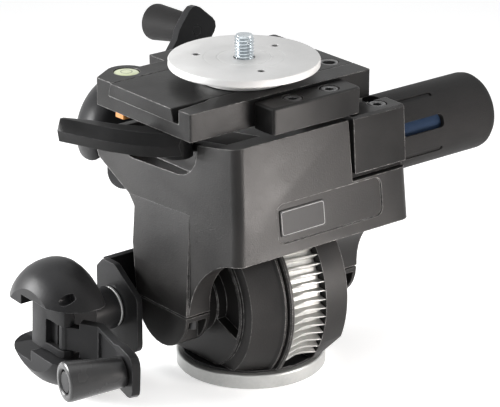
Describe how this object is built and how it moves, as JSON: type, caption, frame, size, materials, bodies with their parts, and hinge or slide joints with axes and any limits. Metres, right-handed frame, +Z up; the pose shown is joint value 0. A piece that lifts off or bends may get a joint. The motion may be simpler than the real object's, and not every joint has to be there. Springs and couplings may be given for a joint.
{
  "type": "geared tripod head",
  "caption": "Geared tripod head with worm driven pan, front tilt and lateral tilt, folding crank knobs, a sliding camera plate with a round disc, and a silver base ring.",
  "frame": {"origin": "centre of the underside of the base disc", "axes": "+Z up, -Y to the front wall with the label, +X towards the lateral grip"},
  "size_m": [0.254, 0.1704, 0.1645],
  "materials": {
    "black_paint": "satin, fine texture",
    "satin_black": "satin",
    "matt_black": "fine grained",
    "silver": "fine turned",
    "zinc": "bright zinc",
    "black_steel": "black oxide",
    "navy": "matt",
    "orange": "satin",
    "green_glass": "clear",
    "label_grey": "bare"
  },
  "bodies": {
    "base": {"base_disc": "silver", "thread_bush": "zinc", "thrust_washer": "satin_black", "pan_spindle": "black_steel", "pan_wheel": "zinc"},
    "pan_body": {"lower_casting": "black_paint", "front_tilt_wheel": "zinc", "left_trunnion": "black_steel", "right_trunnion": "black_steel", "pan_worm_housing": "satin_black"},
    "pan_crank": {"pan_worm": "black_steel", "pan_collar": "silver", "pan_knob": "satin_black", "pan_hinge_block": "satin_black", "pan_hinge_pin": "black_steel"},
    "pan_crank_arm": {"pan_arm": "satin_black", "pan_grip_axle": "black_steel"},
    "pan_crank_grip": {"pan_grip": "matt_black"},
    "tilt_body": {"body_casting": "black_paint", "left_cap": "black_paint", "right_cap": "black_paint", "cap_screw_1": "black_steel", "cap_screw_2": "black_steel", "cap_screw_3": "black_steel", "cap_screw_4": "black_steel", "label_plate": "label_grey", "end_block": "black_paint", "block_screw": "black_steel", "lateral_pin": "black_steel"},
    "tilt_crank": {"tilt_worm": "black_steel", "tilt_collar": "silver", "tilt_knob": "satin_black", "tilt_hinge_block": "satin_black", "tilt_hinge_pin": "black_steel"},
    "tilt_crank_arm": {"tilt_arm": "satin_black", "tilt_grip_axle": "black_steel"},
    "tilt_crank_grip": {"tilt_grip": "matt_black"},
    "lateral_grip": {"lateral_worm": "black_steel", "grip_tube": "matt_black", "blue_sleeve": "navy", "tube_end_cap": "matt_black"},
    "tray_body": {"tray": "black_paint", "bubble_vial": "green_glass", "clamp_bar": "black_paint", "bar_screw_1": "black_steel", "bar_screw_2": "black_steel", "lateral_wheel": "zinc", "lever_pin": "black_steel"},
    "lever": {"release_lever": "satin_black"},
    "catch": {"safety_catch": "orange"},
    "slide_plate": {"camera_plate": "black_paint", "plate_ferrule": "silver", "camera_disc": "silver", "camera_stud": "zinc", "grub_screw_1": "black_steel", "grub_screw_2": "black_steel", "grub_screw_3": "black_steel"}
  },
  "joints": [
    {"name": "pan", "type": "hinge", "parent": "base", "child": "pan_body", "pos_m": [0, 0, 0.0335], "axis": [0, 0, 1], "continuous": true},
    {"name": "pan_crank_spin", "type": "hinge", "parent": "pan_body", "child": "pan_crank", "pos_m": [-0.0603, 0.0315, 0.0335], "axis": [-1, 0, 0], "continuous": true},
    {"name": "pan_crank_fold", "type": "hinge", "parent": "pan_crank", "child": "pan_crank_arm", "pos_m": [-0.0973, 0.01752, 0.03277], "axis": [0, 0.0523, -0.9986], "range_deg": [0, 167]},
    {"name": "pan_grip_spin", "type": "hinge", "parent": "pan_crank_arm", "child": "pan_crank_grip", "pos_m": [-0.0969, -0.02736, 0.03042], "axis": [-0.9744, 0.2246, 0.0118], "continuous": true},
    {"name": "front_tilt", "type": "hinge", "parent": "pan_body", "child": "tilt_body", "pos_m": [0, 0.005, 0.0395], "axis": [1, 0, 0], "range_deg": [-20, 60]},
    {"name": "tilt_crank_spin", "type": "hinge", "parent": "tilt_body", "child": "tilt_crank", "pos_m": [0.0005, 0.065, 0.0935], "axis": [0, 1, 0], "range_deg": [-4200, 1400]},
    {"name": "tilt_crank_fold", "type": "hinge", "parent": "tilt_crank", "child": "tilt_crank_arm", "pos_m": [0.00968, 0.102, 0.10407], "axis": [-0.7547, 0, 0.6561], "range_deg": [0, 174]},
    {"name": "tilt_grip_spin", "type": "hinge", "parent": "tilt_crank_arm", "child": "tilt_crank_grip", "pos_m": [0.03892, 0.09613, 0.13769], "axis": [-0.0686, 0.9945, -0.0789], "continuous": true},
    {"name": "lateral_tilt", "type": "hinge", "parent": "tilt_body", "child": "tray_body", "pos_m": [0.046, -0.018, 0.1235], "axis": [0, 1, 0], "range_deg": [0, 40]},
    {"name": "lateral_grip_spin", "type": "hinge", "parent": "tilt_body", "child": "lateral_grip", "pos_m": [0.063, -0.018, 0.107], "axis": [1, 0, 0], "range_deg": [0, 960]},
    {"name": "release", "type": "hinge", "parent": "tray_body", "child": "lever", "pos_m": [-0.045, -0.0015, 0.12], "axis": [0, 0, 1], "range_deg": [0, 60]},
    {"name": "catch_slide", "type": "slide", "parent": "tray_body", "child": "catch", "axis": [-1, 0, 0], "range_m": [0, 0.003], "stiffness_N_per_m": 150},
    {"name": "plate_slide", "type": "slide", "parent": "tray_body", "child": "slide_plate", "axis": [-1, 0, 0], "range_m": [0, 0.05]}
  ],
  "couplings": [
    {"joint": "pan_crank_spin", "follows": "pan", "ratio": 30},
    {"joint": "tilt_crank_spin", "follows": "front_tilt", "ratio": -70},
    {"joint": "lateral_grip_spin", "follows": "lateral_tilt", "ratio": 24}
  ]
}
